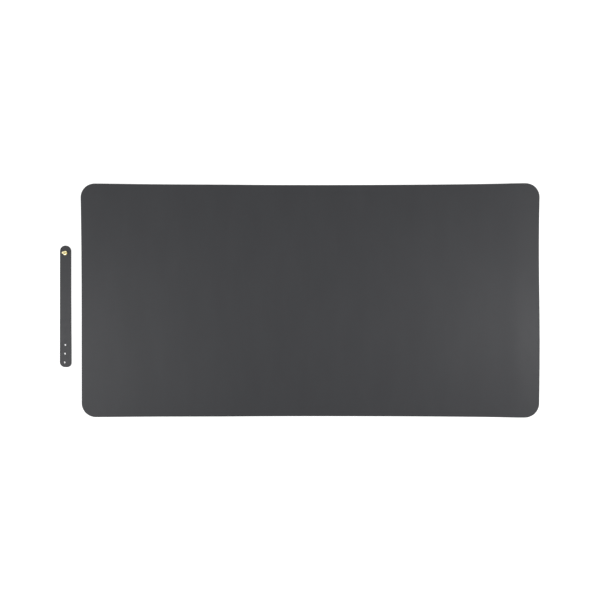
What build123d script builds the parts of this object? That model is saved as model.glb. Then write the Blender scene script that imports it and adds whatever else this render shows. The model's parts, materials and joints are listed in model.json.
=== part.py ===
from build123d import *
import os

# Roll-up leatherette desk mat, with the loose strap that holds it shut when it is rolled and the
# screw-back ball stud that the strap buttons on.
#
# Millimetres, +Z up. The origin is the centre of the mat's underside, on the desk. +X runs along the
# mat's length and +Y across it, away from the user. The strap lies flat past the mat's -X end, along
# Y, with its stud end towards +Y.

# Laminate, the same for the mat and the strap: base sheet, bond film, top sheet
BASE_SHEET = 1.0
BOND_FILM = 0.1
TOP_SHEET = 0.9
FILM_Z = BASE_SHEET
TOP_SHEET_Z = FILM_Z + BOND_FILM
LAMINATE = TOP_SHEET_Z + TOP_SHEET

# Painted bead that seals the cut edges
EDGE_COAT = 0.25
COAT_SETBACK = 0.15
COAT_CHAMFER = 0.12

# Mat
MAT_LENGTH = 800.0
MAT_WIDTH = 409.0
MAT_CORNER_RADIUS = 25.0

# Strap: full round at the stud end, blunter and a little wider on one side at the hole end
STRAP_LENGTH = 215.2
STRAP_WIDTH = 19.5
STRAP_FLARE = 0.8
STRAP_GAP = 22.5
TIP_RADIUS_LEFT = 9.6
TIP_RADIUS_RIGHT = 7.4
STRAP_X = -MAT_LENGTH / 2 - STRAP_GAP - STRAP_WIDTH / 2
STRAP_Y = -10.1
STUD_END_Y = STRAP_Y + STRAP_LENGTH / 2
TIP_Y = STRAP_Y - STRAP_LENGTH / 2
FLARE_START_Y = STRAP_Y + 15.0

# Punched holes, counted from the tip, each with a slit that lets the ball through
PUNCH_RADIUS = 1.9
HOLE_COUNT = 3
TIP_TO_HOLE = 8.4
HOLE_PITCH = 15.5
TIP_HOLE_OFFSET = -1.4
OFFSET_PER_HOLE = 0.5
SLIT_WIDTH = 0.4
SLIT_LENGTH = 2.8

# Ball stud, clamped through the stud end of the strap
STUD_X = STRAP_X
STUD_FROM_END = 13.5
STUD_Y = STUD_END_Y - STUD_FROM_END
BALL_RADIUS = 2.5
NECK_RADIUS = 1.6
NECK_LENGTH = 2.4
FLANGE_RADIUS = 3.75
FLANGE_THICKNESS = 1.2
FLANGE_FILLET = 0.45
SEAT_GAP = 0.02
SHANK_RADIUS = 1.85
SHANK_BOTTOM_Z = 0.85
THREAD_BORE_RADIUS = 1.0
THREAD_BORE_TOP_Z = 5.6
FLANGE_Z = LAMINATE + SEAT_GAP
NECK_Z = FLANGE_Z + FLANGE_THICKNESS
BALL_Z = NECK_Z + NECK_LENGTH + (BALL_RADIUS**2 - NECK_RADIUS**2) ** 0.5

# Screw, its flat head sunk flush into the back of the strap
HEAD_RADIUS = 3.75
HEAD_BOTTOM_Z = 0.05
HEAD_THICKNESS = 0.7
HEAD_CHAMFER = 0.15
HEAD_RECESS_RADIUS = 3.95
HEAD_RECESS_DEPTH = 0.8
DRIVER_SLOT_WIDTH = 0.9
DRIVER_SLOT_DEPTH = 0.35
SCREW_RADIUS = 0.95
SCREW_TOP_Z = 5.0
SCREW_END_CHAMFER = 0.2


def slab(outline, bottom_z, thickness):
    """A flat layer with the given plan outline."""
    return extrude(Pos(0, 0, bottom_z) * outline, thickness)


def edge_bead(outer, inner):
    """The painted band between two plan outlines, a little short of both faces of the laminate."""
    height = LAMINATE - 2 * COAT_SETBACK
    block = slab(outer, COAT_SETBACK, height)
    rims = block.faces().sort_by(Axis.Z)[0].edges() + block.faces().sort_by(Axis.Z)[-1].edges()
    return chamfer(rims, COAT_CHAMFER) - slab(inner, 0, LAMINATE)


def mat_outline(inset=0.0):
    """The mat's rounded rectangle."""
    return RectangleRounded(
        MAT_LENGTH - 2 * inset, MAT_WIDTH - 2 * inset, MAT_CORNER_RADIUS - inset
    )


def strap_outline(inset=0.0):
    """The strap's plan shape, drawn from the tip's left corner and round, less an even inset."""
    left = STRAP_X - STRAP_WIDTH / 2 + inset
    right = STRAP_X + STRAP_WIDTH / 2 - inset
    flared_right = right + STRAP_FLARE
    end_y = STUD_END_Y - STRAP_WIDTH / 2
    tip_y = TIP_Y + inset
    left_radius = TIP_RADIUS_LEFT - inset
    right_radius = TIP_RADIUS_RIGHT - inset
    with BuildSketch() as outline:
        with BuildLine():
            Line((left, tip_y + left_radius), (left, end_y))
            ThreePointArc(
                (left, end_y),
                (STRAP_X, end_y + STRAP_WIDTH / 2 - inset),
                (right, end_y),
            )
            Line((right, end_y), (right, FLARE_START_Y))
            Line((right, FLARE_START_Y), (flared_right, tip_y + right_radius))
            RadiusArc(
                (flared_right, tip_y + right_radius),
                (flared_right - right_radius, tip_y),
                right_radius,
            )
            Line((flared_right - right_radius, tip_y), (left + left_radius, tip_y))
            RadiusArc((left + left_radius, tip_y), (left, tip_y + left_radius), left_radius)
        make_face()
    return outline.sketch


def hole_centres():
    """Centres of the punched holes, from the tip inwards. The row leans off the strap's middle."""
    return [
        (
            STRAP_X + TIP_HOLE_OFFSET + number * OFFSET_PER_HOLE,
            TIP_Y + TIP_TO_HOLE + number * HOLE_PITCH,
        )
        for number in range(HOLE_COUNT)
    ]


def strap_cuts():
    """Everything punched through the strap: the stud's hole, the closing holes and their slits."""
    height = LAMINATE * 2
    cuts = Pos(STUD_X, STUD_Y, LAMINATE / 2) * Cylinder(PUNCH_RADIUS, height)
    slit_run = PUNCH_RADIUS + SLIT_LENGTH
    for x, y in hole_centres():
        cuts += Pos(x, y, LAMINATE / 2) * Cylinder(PUNCH_RADIUS, height)
        cuts += Pos(x, y + slit_run / 2, LAMINATE / 2) * Box(SLIT_WIDTH, slit_run, height)
    return cuts


def mat_layers():
    """The mat's bonded sheets and its edge bead."""
    cut_shape = mat_outline(EDGE_COAT)
    return {
        "mat_base_sheet": slab(cut_shape, 0, BASE_SHEET),
        "mat_bond_film": slab(cut_shape, FILM_Z, BOND_FILM),
        "mat_top_sheet": slab(cut_shape, TOP_SHEET_Z, TOP_SHEET),
        "mat_edge_coat": edge_bead(mat_outline(), cut_shape),
    }


def strap_layers():
    """The strap's bonded sheets, punched through, and its edge bead."""
    cut_shape = strap_outline(EDGE_COAT)
    cuts = strap_cuts()
    head_recess = Pos(STUD_X, STUD_Y, 0) * Cylinder(HEAD_RECESS_RADIUS, 2 * HEAD_RECESS_DEPTH)
    return {
        "strap_back_sheet": slab(cut_shape, 0, BASE_SHEET) - cuts - head_recess,
        "strap_bond_film": slab(cut_shape, FILM_Z, BOND_FILM) - cuts,
        "strap_face_sheet": slab(cut_shape, TOP_SHEET_Z, TOP_SHEET) - cuts,
        "strap_edge_coat": edge_bead(strap_outline(), cut_shape),
    }


def stud_post():
    """Turned post: shank through the strap, flange, neck, ball, and a threaded bore from below."""
    flange_middle_z = FLANGE_Z + FLANGE_THICKNESS / 2
    neck_middle_z = (NECK_Z + BALL_Z) / 2
    shank_height = FLANGE_Z - SHANK_BOTTOM_Z
    flange = Pos(0, 0, flange_middle_z) * Cylinder(FLANGE_RADIUS, FLANGE_THICKNESS)
    flange = fillet(flange.edges().sort_by(Axis.Z)[-1], FLANGE_FILLET)
    post = flange
    post += Pos(0, 0, SHANK_BOTTOM_Z + shank_height / 2) * Cylinder(SHANK_RADIUS, shank_height)
    post += Pos(0, 0, neck_middle_z) * Cylinder(NECK_RADIUS, BALL_Z - NECK_Z)
    post += Pos(0, 0, BALL_Z) * Sphere(BALL_RADIUS)
    bore_height = THREAD_BORE_TOP_Z - SHANK_BOTTOM_Z
    bore = Pos(0, 0, SHANK_BOTTOM_Z + bore_height / 2) * Cylinder(THREAD_BORE_RADIUS, bore_height)
    drill_point = Pos(0, 0, THREAD_BORE_TOP_Z + THREAD_BORE_RADIUS / 4) * Cone(
        THREAD_BORE_RADIUS, 0, THREAD_BORE_RADIUS / 2
    )
    return Pos(STUD_X, STUD_Y, 0) * (post - bore - drill_point)


def stud_screw():
    """Slotted flat-head screw, put in from the back of the strap."""
    head = Pos(0, 0, HEAD_BOTTOM_Z + HEAD_THICKNESS / 2) * Cylinder(HEAD_RADIUS, HEAD_THICKNESS)
    head = chamfer(head.edges().sort_by(Axis.Z)[0], HEAD_CHAMFER)
    head -= Pos(0, 0, HEAD_BOTTOM_Z) * Box(
        3 * HEAD_RADIUS, DRIVER_SLOT_WIDTH, 2 * DRIVER_SLOT_DEPTH
    )
    shank_height = SCREW_TOP_Z - HEAD_BOTTOM_Z - HEAD_THICKNESS
    shank = Pos(0, 0, SCREW_TOP_Z - shank_height / 2) * Cylinder(SCREW_RADIUS, shank_height)
    shank = chamfer(shank.edges().sort_by(Axis.Z)[-1], SCREW_END_CHAMFER)
    return Pos(STUD_X, STUD_Y, 0) * (head + shank)


def main():
    os.makedirs("parts", exist_ok=True)
    nodes = {
        **mat_layers(),
        **strap_layers(),
        "stud_post": stud_post(),
        "stud_screw": stud_screw(),
    }
    for name, shape in nodes.items():
        export_step(shape, f"parts/{name}.step")


main()
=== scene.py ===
import json
import math

import bpy
import numpy as np
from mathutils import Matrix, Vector
from mathutils.geometry import delaunay_2d_cdt


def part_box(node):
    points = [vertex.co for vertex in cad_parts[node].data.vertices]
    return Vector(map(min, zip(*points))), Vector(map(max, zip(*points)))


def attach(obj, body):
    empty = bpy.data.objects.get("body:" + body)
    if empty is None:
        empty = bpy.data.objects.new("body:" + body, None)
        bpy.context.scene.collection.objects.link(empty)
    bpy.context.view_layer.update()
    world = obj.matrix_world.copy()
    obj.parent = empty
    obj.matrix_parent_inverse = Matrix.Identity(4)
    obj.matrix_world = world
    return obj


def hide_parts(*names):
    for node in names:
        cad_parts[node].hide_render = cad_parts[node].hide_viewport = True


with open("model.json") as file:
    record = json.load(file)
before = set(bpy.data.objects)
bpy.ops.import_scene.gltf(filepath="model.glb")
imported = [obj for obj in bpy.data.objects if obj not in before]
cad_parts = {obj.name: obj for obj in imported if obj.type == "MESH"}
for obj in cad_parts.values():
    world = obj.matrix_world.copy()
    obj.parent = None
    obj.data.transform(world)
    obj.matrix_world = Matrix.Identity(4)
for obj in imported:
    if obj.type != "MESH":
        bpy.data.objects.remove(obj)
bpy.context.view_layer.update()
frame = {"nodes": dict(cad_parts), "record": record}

# Everything is in metres, in the CAD's frame: the mat's underside is centred on the origin, +X runs
# along the mat and +Z is up. The strap lies past the mat's -X end, with its stud end towards +Y.

MM = 0.001

# The laminate's layers, read from the frame
BASE_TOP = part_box("mat_base_sheet")[1].z
FILM_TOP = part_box("mat_bond_film")[1].z
LAMINATE_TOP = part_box("mat_top_sheet")[1].z
COAT_LOW, COAT_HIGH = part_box("mat_edge_coat")[0].z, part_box("mat_edge_coat")[1].z
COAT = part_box("mat_edge_coat")[1].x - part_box("mat_top_sheet")[1].x

# Rounding of the sheets' cut edges
TOP_ROUND = 0.3 * MM
MAT_BASE_ROUND = 0.25 * MM
STRAP_BACK_ROUND = 0.2 * MM
HOLE_ROUND = 0.05 * MM
ROUND_STEPS = 4

# The painted bead round the cut edge: its thickness, as shares of the coat, and its waves in one lap
BEAD_STEPS = 10
BEAD_MEAN = 0.88
BEAD_WANDER = 0.12
BEAD_FULLNESS = 0.6
BEAD_OVERLAP = 0.05 * MM
MAT_BEAD_WAVES = 61
STRAP_BEAD_WAVES = 17

# Mat outline
MAT_HALF_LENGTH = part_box("mat_edge_coat")[1].x
MAT_HALF_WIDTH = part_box("mat_edge_coat")[1].y
MAT_CORNER_RADIUS = 25 * MM

# Strap outline, the slits at its closing holes, and the recess for the screw's head
STRAP_LOW, STRAP_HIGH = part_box("strap_edge_coat")
STRAP_FLARE = 0.8 * MM
STRAP_WIDTH = STRAP_HIGH.x - STRAP_LOW.x - STRAP_FLARE
STRAP_MIDDLE_Y = (STRAP_LOW.y + STRAP_HIGH.y) / 2
FLARE_PAST_MIDDLE = 15 * MM
FLARE_START_Y = STRAP_MIDDLE_Y + FLARE_PAST_MIDDLE
TIP_RADIUS_LEFT = 9.6 * MM
TIP_RADIUS_RIGHT = 7.4 * MM
SLIT_WIDTH = 0.4 * MM
SLIT_LENGTH = 2.8 * MM
HEAD_RECESS_RADIUS = 3.95 * MM
HEAD_RECESS_DEPTH = 0.8 * MM

# Stud, turned about the post's middle, and the hole punched for it
POST_LOW, POST_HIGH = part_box("stud_post")
STUD = (POST_LOW + POST_HIGH) / 2
BALL_RADIUS = 2.5 * MM
NECK_RADIUS = 1.6 * MM
FLANGE_RADIUS = (POST_HIGH.x - POST_LOW.x) / 2
SEAT_GAP = 0.02 * MM
FLANGE_THICKNESS = 1.2 * MM
FLANGE_LOW = LAMINATE_TOP + SEAT_GAP
FLANGE_HIGH = FLANGE_LOW + FLANGE_THICKNESS
FLANGE_ROUND = 0.45 * MM
FLANGE_CHAMFER = 0.1 * MM
NECK_FILLET = 0.5 * MM
SHANK_RADIUS = 1.85 * MM
SHANK_CHAMFER = 0.15 * MM
BORE_RADIUS = 1.0 * MM
BORE_TOP = 5.6 * MM
BORE_POINT = 0.6 * MM
BORE_TIP_RADIUS = 0.02 * MM
PUNCH_RADIUS = 1.9 * MM

# The ball's section starts these degrees above where it meets the neck, and ends just off the axis
BALL_START = 4
BALL_END = 89.6

# How far the mat's ends stand off the desk after being rolled up, and how much more at the back
LEFT_CURL = 6.3 * MM
LEFT_BACK_CORNER = 4.5 * MM
RIGHT_CURL = 8.9 * MM
RIGHT_BACK_CORNER = 3.0 * MM
RIGHT_WAVE = 1.6 * MM
CURL_POWER = 2.2

# Set left in the laminate: a crease near one end, and a low swell
CREASE_X = 362 * MM
CREASE_WIDTH = 30 * MM
CREASE_HEIGHT = 1.6 * MM
SWELL_X = -165 * MM
SWELL_WIDTH = 75 * MM
SWELL_HEIGHT = 1.3 * MM

# Slight waves all over the mat, and the lift that keeps their troughs off the desk
LONG_WAVE = 0.09 * MM
SHORT_WAVE = 0.05 * MM
WAVE_LIFT = 0.14 * MM

# The strap's set: flat where the stud clamps it, then rising to the tip with a little ripple
CLAMPED_LENGTH = 14 * MM
TIP_CURL = 0.4 * MM
TIP_CURL_POWER = 2.4
TIP_RIPPLE = 0.12 * MM

# Mesh fineness. A rim is the ring of faces between a cut edge and the even filling, and the filling
# keeps off it by a share of its own spacing.
MAT_SPACING = 4.5 * MM
MAT_EDGE_STEP = 2.2 * MM
STRAP_SPACING = 1.3 * MM
STRAP_EDGE_STEP = 0.7 * MM
HOLE_STEP = 0.22 * MM
RIM = 0.9 * MM
HOLE_RIM = 0.06 * MM
LATHE_STEPS = 96
RIM_CLEARANCE = 0.55
TRIANGLES_INSIDE = 1
WELD_DISTANCE = 1e-9

# Angles, in degrees, beyond which an edge is shaded sharp
SHEET_SHARP = 40
BEAD_SHARP = 60
LATHE_SHARP = 35

# Floor, a hair under the pieces that lie on it
FLOOR_REACH = 25.0
FLOOR_Z = -0.02 * MM
SQUARE = [(-1, -1), (1, -1), (1, 1), (-1, 1)]

# How much the floor glows by itself, and how bright the world around it is
FLOOR_GLOW = 0.6
WORLD_STRENGTH = 0.85

# Soft boxes: name, place, the point each faces, its two sides, and its power in watts
SOFTBOXES = [
    ("right_box", (0.9, -0.1, 0.8), (0.3, -0.03, 0), (0.35, 0.35), 4.7),
    ("left_box", (-0.95, -0.25, 0.8), (-0.3, -0.05, 0), (0.35, 0.35), 3.3),
    ("top_box", (0.0, -0.05, 1.9), (0, 0, 0), (1.6, 1.2), 6.0),
    ("right_side_box", (1.35, -0.1, 1.15), (0.2, 0, 0), (0.9, 0.9), 1.5),
    ("left_side_box", (-1.35, -0.1, 1.15), (-0.2, 0, 0), (0.9, 0.9), 4.0),
]

# The camera looks straight down, a little left of the mat's middle so that the strap is in view
CAMERA_X = -17.4 * MM
CAMERA_Y = 1.1 * MM
CAMERA_HEIGHT = 0.70
VIEW_WIDTH = 1.0636
SENSOR = 36.0
NEAR_CLIP = 0.01


# Outlines

def arc(centre, radius, start, end, steps=24):
    """Points along an arc, from start to end in degrees, both included."""
    angles = np.radians(np.linspace(start, end, steps + 1))
    return [(centre[0] + radius * math.cos(a), centre[1] + radius * math.sin(a)) for a in angles]


def resample(points, step):
    """The closed outline through the points, with evenly spaced points about a step apart."""
    closed = np.array(points + points[:1], float)
    runs = np.linalg.norm(np.diff(closed, axis=0), axis=1)
    along = np.concatenate([[0], np.cumsum(runs)])
    count = round(along[-1] / step)
    at = np.linspace(0, along[-1], count, endpoint=False)
    return np.stack([np.interp(at, along, closed[:, k]) for k in (0, 1)], axis=1)


def mat_outline(inset):
    """The mat's rounded rectangle, counterclockwise."""
    half_x = MAT_HALF_LENGTH - inset
    half_y = MAT_HALF_WIDTH - inset
    radius = MAT_CORNER_RADIUS - inset
    points = []
    for quarter, (sx, sy) in enumerate([(1, 1), (-1, 1), (-1, -1), (1, -1)]):
        centre = (sx * (half_x - radius), sy * (half_y - radius))
        points += arc(centre, radius, quarter * 90, quarter * 90 + 90)
    return resample(points, MAT_EDGE_STEP)


def strap_outline(inset):
    """The strap's plan shape, counterclockwise from the flared edge."""
    left = STRAP_LOW.x + inset
    right = STRAP_LOW.x + STRAP_WIDTH - inset
    flared = right + STRAP_FLARE
    middle = (left + right) / 2
    end_radius = (right - left) / 2
    end_y = STRAP_HIGH.y - inset - end_radius
    tip_y = STRAP_LOW.y + inset
    left_radius = TIP_RADIUS_LEFT - inset
    right_radius = TIP_RADIUS_RIGHT - inset
    points = arc((flared - right_radius, tip_y + right_radius), right_radius, -90, 0)
    points += [(right, FLARE_START_Y)]
    points += arc((middle, end_y), end_radius, 0, 180, 48)
    points += arc((left + left_radius, tip_y + left_radius), left_radius, 180, 270)
    return resample(points, STRAP_EDGE_STEP)


def punched_hole(centre):
    """A closing hole with its slit, clockwise, so that its normals also point away from the leather."""
    x, y = centre
    half = SLIT_WIDTH / 2
    mouth = math.degrees(math.asin(half / PUNCH_RADIUS))
    tip_y = y + PUNCH_RADIUS + SLIT_LENGTH - half
    points = arc((x, y), PUNCH_RADIUS, 90 - mouth, -270 + mouth, 72)
    points += arc((x, tip_y), half, 180, 0, 8)
    return resample(points, HOLE_STEP)


def round_hole(centre, radius):
    """A plain round hole, clockwise."""
    return resample(arc(centre, radius, 360, 0, 72)[:-1], HOLE_STEP)


def outward(loop):
    """The unit normals of a loop, pointing away from the leather."""
    along = np.roll(loop, -1, axis=0) - np.roll(loop, 1, axis=0)
    normals = np.stack([along[:, 1], -along[:, 0]], axis=1)
    return normals / np.linalg.norm(normals, axis=1, keepdims=True)


def inside(points, loop):
    """Which points lie inside a loop."""
    x, y = points[:, 0], points[:, 1]
    found = np.zeros(len(points), bool)
    for (ax, ay), (bx, by) in zip(loop, np.roll(loop, -1, axis=0)):
        crosses = (ay > y) != (by > y)
        if crosses.any():
            found[crosses] ^= x[crosses] < (bx - ax) * (y[crosses] - ay) / (by - ay) + ax
    return found


def plan(loops, rims, spacing):
    """A cut shape: its loops with their normals, and points and triangles that fill it inside its rims.

    The first loop is the outline and the others are holes. The filling's first points are the rims'.
    """
    normals = [outward(loop) for loop in loops]
    rings = [loop - normal * rim for loop, normal, rim in zip(loops, normals, rims)]
    low, high = rings[0].min(0), rings[0].max(0)
    columns = np.arange(low[0], high[0], spacing)
    rows = np.arange(low[1], high[1], spacing * math.sqrt(3) / 2)
    grid = np.array([(x + spacing / 2 * (j % 2), y) for j, y in enumerate(rows) for x in columns])
    keep = inside(grid, rings[0])
    for ring in rings[1:]:
        keep &= ~inside(grid, ring)
    grid = grid[keep]
    for ring in rings:
        gap = np.full(len(grid), np.inf)
        for point in ring:
            gap = np.minimum(gap, np.hypot(*(grid - point).T))
        grid = grid[gap > spacing * RIM_CLEARANCE]
    edges = []
    start = 0
    for ring in rings:
        count = len(ring)
        edges += [(start + k, start + (k + 1) % count) for k in range(count)]
        start += count
    points = np.concatenate(rings + [grid])
    corners = [Vector(p) for p in points]
    made = delaunay_2d_cdt(corners, edges, [], TRIANGLES_INSIDE, WELD_DISTANCE)
    points = np.array([tuple(p) for p in made[0]])
    triangles = np.array(made[2])
    middles = points[triangles].mean(1)
    keep = inside(middles, rings[0])
    for ring in rings[1:]:
        keep &= ~inside(middles, ring)
    return {"loops": loops, "normals": normals, "points": points, "triangles": triangles[keep]}


# Meshes

def mesh_object(name, points, faces, sharp_degrees):
    """A smooth-shaded mesh object, sharp where its faces meet at more than the given angle."""
    mesh = bpy.data.meshes.new(name)
    mesh.from_pydata([tuple(p) for p in points], [], [tuple(f) for f in faces])
    mesh.validate()
    mesh.shade_smooth()
    mesh.set_sharp_from_angle(angle=math.radians(sharp_degrees))
    piece = bpy.data.objects.new(name, mesh)
    bpy.context.scene.collection.objects.link(piece)
    return piece


def edge_section(low, high, top_radius=0.0, bottom_radius=0.0):
    """A sheet's edge section from its top to its bottom, as (inset, height) pairs."""
    section = [(0.0, high), (0.0, low)]
    if top_radius:
        centre = (top_radius, high - top_radius)
        section[:1] = arc(centre, top_radius, 90, 180, ROUND_STEPS)
    if bottom_radius:
        centre = (bottom_radius, low + bottom_radius)
        section[-1:] = arc(centre, bottom_radius, 180, 270, ROUND_STEPS)
    return section


def sheet_piece(name, cut, low, high, sections, shape):
    """One closed sheet of the laminate over a cut shape, bent by shape(x, y).

    Each of the cut shape's loops has an edge section, listed in the same order.
    """
    count = len(cut["points"])
    flat = cut["points"]
    points = [np.column_stack([flat, np.full(count, high)])]
    points += [np.column_stack([flat, np.full(count, low)])]
    faces = [tuple(t) for t in cut["triangles"]]
    faces += [tuple(count + t[::-1]) for t in cut["triangles"]]
    start = 2 * count
    ring_start = 0
    for loop, normal, section in zip(cut["loops"], cut["normals"], sections):
        size = len(loop)
        rings = [ring_start + np.arange(size)]
        for inset, height in section:
            points.append(np.column_stack([loop - normal * inset, np.full(size, height)]))
            rings.append(start + np.arange(size))
            start += size
        rings.append(count + ring_start + np.arange(size))
        for upper, lower in zip(rings, rings[1:]):
            for k in range(size):
                after = (k + 1) % size
                faces.append((upper[k], lower[k], lower[after], upper[after]))
        ring_start += size
    points = np.concatenate(points)
    points[:, 2] += shape(points[:, 0], points[:, 1])
    return mesh_object(name, points, faces, SHEET_SHARP)


def bead_piece(name, loop, shape, waves):
    """The painted edge: a shallow bead round the loop, its thickness wandering in so many waves."""
    normal = outward(loop)
    size = len(loop)
    middle = (COAT_LOW + COAT_HIGH) / 2
    half = (COAT_HIGH - COAT_LOW) / 2
    turns = np.linspace(-math.pi / 2, math.pi / 2, BEAD_STEPS + 1)
    along = np.arange(size) / size * 2 * math.pi
    wander = np.sin(waves * along) * np.sin(waves * 2.7 * along + 1.0)
    thickness = COAT * (BEAD_MEAN + BEAD_WANDER * wander)
    points = []
    for turn in turns:
        depth = thickness * abs(math.cos(turn)) ** BEAD_FULLNESS
        height = middle + half * math.sin(turn)
        points.append(np.column_stack([loop + normal * depth[:, None], np.full(size, height)]))
    for height in (COAT_HIGH, COAT_LOW):
        points.append(np.column_stack([loop - normal * BEAD_OVERLAP, np.full(size, height)]))
    count = len(points)
    faces = []
    for ring in range(count):
        other = (ring + 1) % count
        for k in range(size):
            after = (k + 1) % size
            near, far = ring * size, other * size
            faces.append((near + k, near + after, far + after, far + k))
    points = np.concatenate(points)
    points[:, 2] += shape(points[:, 0], points[:, 1])
    return mesh_object(name, points, faces, BEAD_SHARP)


def lathe_piece(name, centre, section):
    """A turned piece about a vertical axis, from its section's (radius, height) points."""
    points = []
    faces = []
    for radius, height in section:
        for k in range(LATHE_STEPS):
            turn = 2 * math.pi * k / LATHE_STEPS
            points.append(
                (centre.x + radius * math.cos(turn), centre.y + radius * math.sin(turn), height)
            )
    for ring in range(len(section) - 1):
        for k in range(LATHE_STEPS):
            after = (k + 1) % LATHE_STEPS
            a, b = ring * LATHE_STEPS, (ring + 1) * LATHE_STEPS
            faces.append((a + k, a + after, b + after, b + k))
    faces.append(tuple(range(LATHE_STEPS))[::-1])
    last = (len(section) - 1) * LATHE_STEPS
    faces.append(tuple(last + k for k in range(LATHE_STEPS)))
    return mesh_object(name, points, faces, LATHE_SHARP)


# How the laminate lies

def bump(x, middle, width):
    """A smooth bump of height one."""
    return np.exp(-(((x - middle) / width) ** 2))


def mat_shape(x, y):
    """The mat's lift off the desk: ends that remember the roll, a crease, a swell and slight waves."""
    along = x / MAT_HALF_LENGTH
    across = y / MAT_HALF_WIDTH
    back = (1 + across) / 2
    left = LEFT_CURL + LEFT_BACK_CORNER * back**4
    right = RIGHT_CURL + RIGHT_BACK_CORNER * back**4 - RIGHT_WAVE * np.sin(math.pi * (across - 0.1))
    curl = np.where(along < 0, left, right) * np.abs(along) ** CURL_POWER
    crease = CREASE_HEIGHT * bump(x, CREASE_X, CREASE_WIDTH)
    swell = SWELL_HEIGHT * bump(x, SWELL_X, SWELL_WIDTH)
    waves = LONG_WAVE * np.sin(17 * x + 5 * y) * np.sin(9 * x - 14 * y + 1.3)
    waves += SHORT_WAVE * np.sin(43 * x + 11 * y + 0.7) * np.cos(31 * y - 6 * x)
    return curl + crease + swell + (waves + WAVE_LIFT) * (1 - 0.4 * across**2)


def strap_shape(x, y):
    """The strap's lift off the desk, from none at the stud's end to the most at the tip."""
    clamped_y = STUD.y - CLAMPED_LENGTH
    from_stud = np.maximum(clamped_y - y, 0) / (clamped_y - STRAP_LOW.y)
    ripple = TIP_RIPPLE * np.sin(7.5 * from_stud) ** 2 * from_stud
    return TIP_CURL * from_stud**TIP_CURL_POWER + ripple


# Materials

class Nodes:
    """A material's node tree, with short calls to add and link nodes."""

    def __init__(self, name):
        self.material = bpy.data.materials.new(name)
        self.material.use_nodes = True
        self.tree = self.material.node_tree
        self.shader = self.tree.nodes["Principled BSDF"]
        self.place = self.add("ShaderNodeTexCoord").outputs["Object"]

    def add(self, kind, **settings):
        node = self.tree.nodes.new(kind)
        for key, value in settings.items():
            setattr(node, key, value)
        return node

    def link(self, source, target):
        self.tree.links.new(source, target)

    def noise(self, scale, detail=3.0, roughness=0.5, distortion=0.0, place=None):
        node = self.add("ShaderNodeTexNoise")
        self.link(place or self.place, node.inputs["Vector"])
        node.inputs["Scale"].default_value = scale
        node.inputs["Detail"].default_value = detail
        node.inputs["Roughness"].default_value = roughness
        node.inputs["Distortion"].default_value = distortion
        return node.outputs["Fac"]

    def cell_edges(self, scale, place):
        """The distance from the edges between random cells."""
        node = self.add("ShaderNodeTexVoronoi", feature="DISTANCE_TO_EDGE")
        self.link(place, node.inputs["Vector"])
        node.inputs["Scale"].default_value = scale
        return node.outputs["Distance"]

    def warped(self, scale, distance):
        """The piece's coordinates, pushed about by noise."""
        node = self.add("ShaderNodeTexNoise")
        self.link(self.place, node.inputs["Vector"])
        node.inputs["Scale"].default_value = scale
        shift = self.add("ShaderNodeVectorMath", operation="MULTIPLY_ADD")
        self.link(node.outputs["Color"], shift.inputs[0])
        shift.inputs[1].default_value = (distance, distance, distance)
        self.link(self.place, shift.inputs[2])
        return shift.outputs["Vector"]

    def stretched(self, x, y, z):
        """The piece's coordinates, scaled unevenly, which draws out whatever is mapped with them."""
        node = self.add("ShaderNodeVectorMath", operation="MULTIPLY")
        self.link(self.place, node.inputs[0])
        node.inputs[1].default_value = (x, y, z)
        return node.outputs["Vector"]

    def range(self, value, low, high, from_low=0.0, from_high=1.0):
        """The value eased from one range to another."""
        node = self.add("ShaderNodeMapRange", interpolation_type="SMOOTHSTEP")
        self.link(value, node.inputs["Value"])
        node.inputs["From Min"].default_value = from_low
        node.inputs["From Max"].default_value = from_high
        node.inputs["To Min"].default_value = low
        node.inputs["To Max"].default_value = high
        return node.outputs["Result"]

    def math(self, operation, first, second):
        node = self.add("ShaderNodeMath", operation=operation)
        for socket, value in zip(node.inputs, (first, second)):
            if isinstance(value, (int, float)):
                socket.default_value = value
            else:
                self.link(value, socket)
        return node.outputs["Value"]

    def mix(self, factor, first, second):
        node = self.add("ShaderNodeMix", data_type="RGBA")
        self.link(factor, node.inputs["Factor"])
        for socket, value in ((node.inputs["A"], first), (node.inputs["B"], second)):
            if isinstance(value, tuple):
                socket.default_value = (*value, 1.0)
            else:
                self.link(value, socket)
        return node.outputs["Result"]

    def bump(self, height, strength, distance):
        node = self.add("ShaderNodeBump")
        self.link(height, node.inputs["Height"])
        node.inputs["Strength"].default_value = strength
        node.inputs["Distance"].default_value = distance
        return node.outputs["Normal"]

    def finish(self, colour, roughness=None, normal=None, **constants):
        """Links the shader's inputs, sets its other sockets and gives the material."""
        self.link(colour, self.shader.inputs["Base Color"])
        if roughness is not None:
            self.link(roughness, self.shader.inputs["Roughness"])
        if normal is not None:
            self.link(normal, self.shader.inputs["Normal"])
        for key, value in constants.items():
            self.shader.inputs[key.replace("_", " ")].default_value = value
        return self.material


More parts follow.
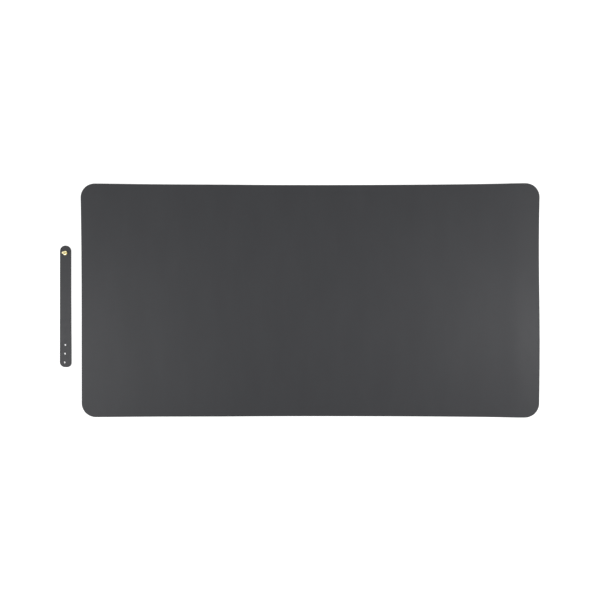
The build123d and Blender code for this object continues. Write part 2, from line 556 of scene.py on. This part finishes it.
def leatherette():
    """Dark grey coated leather: fine uneven pebbles with soft furrows between them, and painted shade
    darkening the furrows.
    """
    n = Nodes("leatherette_grain")
    pebbles = n.range(n.cell_edges(1250, n.warped(420, 0.45 * MM)), 0.0, 1.0, 0.0, 0.38)
    uneven = n.range(n.noise(700, 2.0, 0.5), 0.35, 1.0, 0.35, 0.65)
    furrows = n.math("MULTIPLY", pebbles, uneven)
    swells = n.noise(520, 3.0, 0.55)
    pores = n.noise(4200, 3.0, 0.6)
    height = n.math("ADD", n.math("MULTIPLY", furrows, 0.55), n.math("MULTIPLY", swells, 0.5))
    height = n.math("ADD", height, n.math("MULTIPLY", pores, 0.12))
    roll_bands = n.noise(26, 4.0, 0.55, place=n.stretched(1.0, 0.3, 1.0))
    cloud = n.noise(150, 4.0, 0.6)
    tone = n.math("ADD", n.math("MULTIPLY", roll_bands, 0.65), n.math("MULTIPLY", cloud, 0.35))
    tone = n.range(tone, 0.0, 1.0, 0.34, 0.66)
    face = n.mix(tone, (0.0186, 0.0192, 0.0218), (0.0236, 0.0242, 0.0271))
    # Painted shade: the colour darkens into the furrows between the pebbles
    colour = n.mix(n.range(pebbles, 0.0, 1.0, 0.0, 0.5), (0.0176, 0.0182, 0.0206), face)
    roughness = n.range(cloud, 0.505, 0.555, 0.3, 0.7)
    return n.finish(colour, roughness, n.bump(height, 0.5, 0.11 * MM), Specular_IOR_Level=0.30)


def suede_backing():
    """Short-nap microfibre: no gloss, a soft sheen and streaks where the nap lies another way."""
    n = Nodes("suede_backing_nap")
    nap = n.noise(3200, 3.0, 0.7)
    streaks = n.noise(28, 4.0, 0.6, 0.6)
    fibres = n.noise(900, 5.0, 0.7)
    tone = n.math("ADD", n.math("MULTIPLY", streaks, 0.65), n.math("MULTIPLY", fibres, 0.35))
    colour = n.mix(n.range(tone, 0.0, 1.0, 0.3, 0.7), (0.038, 0.039, 0.042), (0.066, 0.067, 0.071))
    roughness = n.range(nap, 0.86, 0.98)
    normal = n.bump(n.math("ADD", nap, fibres), 0.5, 0.12 * MM)
    return n.finish(
        colour, roughness, normal, Specular_IOR_Level=0.2, Sheen_Weight=0.35, Sheen_Roughness=0.5
    )


def bond_film():
    """Milky hot-melt film."""
    n = Nodes("bond_film_melt")
    flow = n.noise(240, 4.0, 0.6, 0.8)
    colour = n.mix(n.range(flow, 0.0, 1.0, 0.35, 0.65), (0.24, 0.23, 0.20), (0.34, 0.33, 0.29))
    return n.finish(colour, n.range(flow, 0.35, 0.5), n.bump(flow, 0.2, 0.03 * MM))


def edge_paint():
    """Flexible edge paint: nearly black, satin, with faint brush waves."""
    n = Nodes("edge_paint_satin")
    waves = n.noise(420, 3.0, 0.5, 0.4)
    colour = n.mix(n.range(waves, 0.0, 1.0, 0.3, 0.7), (0.017, 0.0175, 0.0185), (0.026, 0.0265, 0.028))
    return n.finish(colour, n.range(waves, 0.38, 0.52), n.bump(waves, 0.3, 0.05 * MM))


def polished_brass():
    """Turned and polished brass, with fine handling marks and a little tarnish."""
    n = Nodes("polished_brass_turned")
    marks = n.noise(1500, 6.0, 0.7)
    tarnish = n.noise(420, 4.0, 0.6)
    colour = n.mix(n.range(tarnish, 0.0, 1.0, 0.45, 0.75), (0.84, 0.75, 0.44), (0.68, 0.58, 0.31))
    roughness = n.range(n.math("ADD", marks, tarnish), 0.09, 0.24, 0.6, 1.4)
    return n.finish(colour, roughness, n.bump(marks, 0.12, 0.01 * MM), Metallic=1.0)


def studio_floor():
    """Plain pale paper with a little glow of its own, so that it comes out pure white."""
    n = Nodes("studio_paper")
    tooth = n.noise(300, 4.0, 0.6)
    colour = n.mix(tooth, (0.48, 0.48, 0.48), (0.50, 0.50, 0.50))
    return n.finish(
        colour,
        Roughness=0.9,
        Specular_IOR_Level=0.1,
        Emission_Color=(1.0, 1.0, 1.0, 1.0),
        Emission_Strength=FLOOR_GLOW,
    )


def dress(piece, material, body, slot, *nodes):
    """Gives a piece its material, its body and the CAD nodes that it stands for. Its record slot is not
    used.
    """
    piece.data.materials.append(material)
    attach(piece, body)
    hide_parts(*nodes)
    return piece


# Pieces

def make_mat(leather, suede, film, paint):
    """The mat's three sheets and its painted edge."""
    outline = mat_outline(COAT)
    cut = plan([outline], [RIM], MAT_SPACING)
    top_edge = edge_section(FILM_TOP, LAMINATE_TOP, top_radius=TOP_ROUND)
    glue_edge = edge_section(BASE_TOP, FILM_TOP)
    base_edge = edge_section(0.0, BASE_TOP, bottom_radius=MAT_BASE_ROUND)
    top = sheet_piece("mat_top_leatherette", cut, FILM_TOP, LAMINATE_TOP, [top_edge], mat_shape)
    glue = sheet_piece("mat_glue_film", cut, BASE_TOP, FILM_TOP, [glue_edge], mat_shape)
    base = sheet_piece("mat_suede_base", cut, 0.0, BASE_TOP, [base_edge], mat_shape)
    bead = bead_piece("mat_painted_edge", outline, mat_shape, MAT_BEAD_WAVES)
    dress(top, leather, "mat", "leatherette", "mat_top_sheet")
    dress(glue, film, "mat", "bond_film", "mat_bond_film")
    dress(base, suede, "mat", "suede_backing", "mat_base_sheet")
    dress(bead, paint, "mat", "edge_paint", "mat_edge_coat")


def make_strap(leather, suede, film, paint):
    """The strap's three sheets, punched through, and its painted edge."""
    outline = strap_outline(COAT)
    stud = (STUD.x, STUD.y)
    mounts = frame["record"]["mounts"]
    holes = [m["pos_m"][:2] for m in mounts if m["name"].startswith("strap_hole")]
    slit_holes = [punched_hole(hole) for hole in holes]
    rims = [RIM] + [HOLE_RIM] * (1 + len(holes))
    cut = plan([outline, round_hole(stud, PUNCH_RADIUS)] + slit_holes, rims, STRAP_SPACING)
    back_loops = [outline, round_hole(stud, HEAD_RECESS_RADIUS)] + slit_holes
    back_cut = plan(back_loops, rims, STRAP_SPACING)

    top_edges = [edge_section(FILM_TOP, LAMINATE_TOP, top_radius=TOP_ROUND)]
    top_edges += [edge_section(FILM_TOP, LAMINATE_TOP, top_radius=HOLE_ROUND)] * (1 + len(holes))
    glue_edges = [edge_section(BASE_TOP, FILM_TOP)] * len(rims)
    # In the back, the screw head's recess steps in to the punched hole above it
    step_in = PUNCH_RADIUS - HEAD_RECESS_RADIUS
    recess = [(step_in, BASE_TOP), (step_in, HEAD_RECESS_DEPTH), (0, HEAD_RECESS_DEPTH), (0, 0)]
    back_edges = [edge_section(0.0, BASE_TOP, bottom_radius=STRAP_BACK_ROUND), recess]
    back_edges += [edge_section(0.0, BASE_TOP, bottom_radius=HOLE_ROUND)] * len(holes)

    top = sheet_piece("strap_leatherette", cut, FILM_TOP, LAMINATE_TOP, top_edges, strap_shape)
    glue = sheet_piece("strap_glue_film", cut, BASE_TOP, FILM_TOP, glue_edges, strap_shape)
    back = sheet_piece("strap_suede_back", back_cut, 0.0, BASE_TOP, back_edges, strap_shape)
    bead = bead_piece("strap_painted_edge", outline, strap_shape, STRAP_BEAD_WAVES)
    dress(top, leather, "strap", "leatherette", "strap_face_sheet")
    dress(glue, film, "strap", "bond_film", "strap_bond_film")
    dress(back, suede, "strap", "suede_backing", "strap_back_sheet")
    dress(bead, paint, "strap", "edge_paint", "strap_edge_coat")


def post_section():
    """The post's outline from the bore's end, down the bore, round the shank and up to the ball's top."""
    ball_z = POST_HIGH.z - BALL_RADIUS
    chamfer_top = POST_LOW.z + SHANK_CHAMFER
    section = [(BORE_TIP_RADIUS, BORE_TOP + BORE_POINT), (BORE_RADIUS, BORE_TOP)]
    section += [(BORE_RADIUS, chamfer_top), (BORE_RADIUS + SHANK_CHAMFER, POST_LOW.z)]
    section += [(SHANK_RADIUS - SHANK_CHAMFER, POST_LOW.z), (SHANK_RADIUS, chamfer_top)]
    section += [(SHANK_RADIUS, FLANGE_LOW), (FLANGE_RADIUS - FLANGE_CHAMFER, FLANGE_LOW)]
    section += [(FLANGE_RADIUS, FLANGE_LOW + FLANGE_CHAMFER)]
    centre = (FLANGE_RADIUS - FLANGE_ROUND, FLANGE_HIGH - FLANGE_ROUND)
    section += arc(centre, FLANGE_ROUND, 0, 90, 8)
    section += arc((NECK_RADIUS + NECK_FILLET, FLANGE_HIGH + NECK_FILLET), NECK_FILLET, 270, 180, 8)
    lowest = math.degrees(math.asin(NECK_RADIUS / BALL_RADIUS))
    section += arc((0, ball_z), BALL_RADIUS, lowest - 90 + BALL_START, BALL_END, 40)
    return section


def make_stud(brass):
    """The turned post, and the CAD's own screw in the same brass."""
    post = lathe_piece("stud_post_turned", STUD, post_section())
    dress(post, brass, "stud_post", "brass", "stud_post")
    screw = frame["nodes"]["stud_screw"]
    screw.data.materials.clear()
    screw.data.materials.append(brass)


# Studio

def softbox(name, place, target, size, energy):
    """A soft rectangular light that faces its target, unseen by the camera."""
    light = bpy.data.lights.new(name, "AREA")
    light.shape = "RECTANGLE"
    light.size, light.size_y = size
    light.energy = energy
    lamp = bpy.data.objects.new(name, light)
    lamp.location = place
    lamp.visible_camera = False
    lamp.rotation_euler = (Vector(target) - Vector(place)).to_track_quat("-Z", "Y").to_euler()
    bpy.context.scene.collection.objects.link(lamp)


def make_studio():
    """The floor, the pale world and the lights."""
    corners = [(x * FLOOR_REACH, y * FLOOR_REACH, FLOOR_Z) for x, y in SQUARE]
    floor = mesh_object("studio_floor", corners, [(0, 1, 2, 3)], SHEET_SHARP)
    floor.data.materials.append(studio_floor())
    world = bpy.data.worlds.new("studio")
    world.use_nodes = True
    background = world.node_tree.nodes["Background"]
    background.inputs["Color"].default_value = (1.0, 1.0, 1.0, 1.0)
    background.inputs["Strength"].default_value = WORLD_STRENGTH
    bpy.context.scene.world = world
    for name, place, target, size, energy in SOFTBOXES:
        softbox(name, place, target, size, energy)


def make_camera():
    """The photograph's view, straight down."""
    data = bpy.data.cameras.new("camera")
    data.sensor_width = SENSOR
    data.lens = SENSOR * CAMERA_HEIGHT / VIEW_WIDTH
    data.clip_start = NEAR_CLIP
    camera = bpy.data.objects.new("camera", data)
    camera.location = (CAMERA_X, CAMERA_Y, CAMERA_HEIGHT)
    bpy.context.scene.collection.objects.link(camera)
    bpy.context.scene.camera = camera


leather = leatherette()
suede = suede_backing()
film = bond_film()
paint = edge_paint()
make_mat(leather, suede, film, paint)
make_strap(leather, suede, film, paint)
make_stud(polished_brass())
make_studio()
make_camera()
bpy.context.scene.view_settings.view_transform = "Standard"
